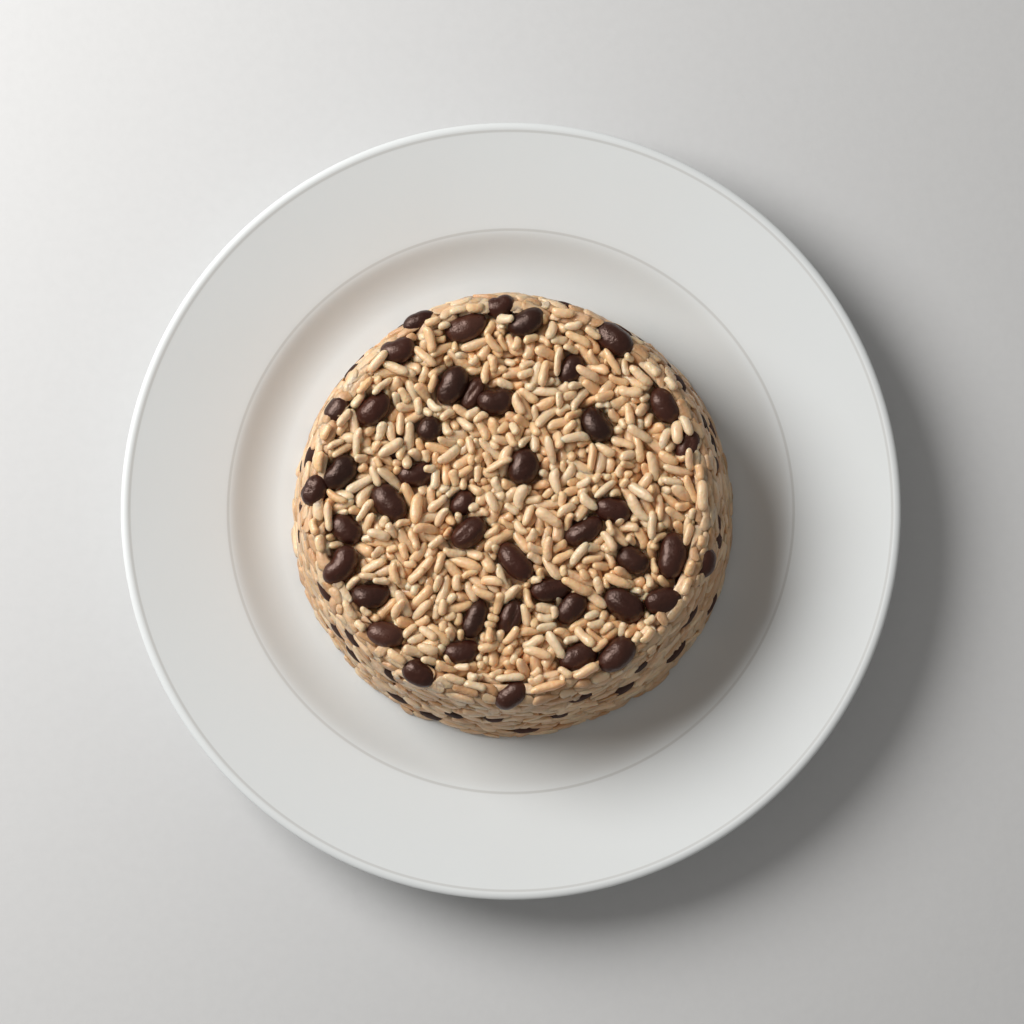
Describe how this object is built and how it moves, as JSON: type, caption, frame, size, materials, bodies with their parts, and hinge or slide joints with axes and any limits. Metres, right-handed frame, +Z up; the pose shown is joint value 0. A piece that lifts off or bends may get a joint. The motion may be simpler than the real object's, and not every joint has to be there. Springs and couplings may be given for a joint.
{
  "type": "rice and beans plate",
  "caption": "Round moulded mound of cooked rice and black beans, slightly tapered, on a white plate with a broad rim and rolled edge.",
  "frame": {"origin": "plate's axis at the foot ring's underside", "axes": "+Z up out of the plate, +Y towards the back of the mound as seen by a diner on the -Y side, +X to that diner's right"},
  "size_m": [0.26, 0.26, 0.0536],
  "materials": {
    "porcelain": "glossy white glaze",
    "rice_and_beans": "moist cooked rice with black beans"
  },
  "bodies": {
    "root": {"plate": "porcelain", "rice_and_beans": "rice_and_beans"}
  },
  "joints": []
}
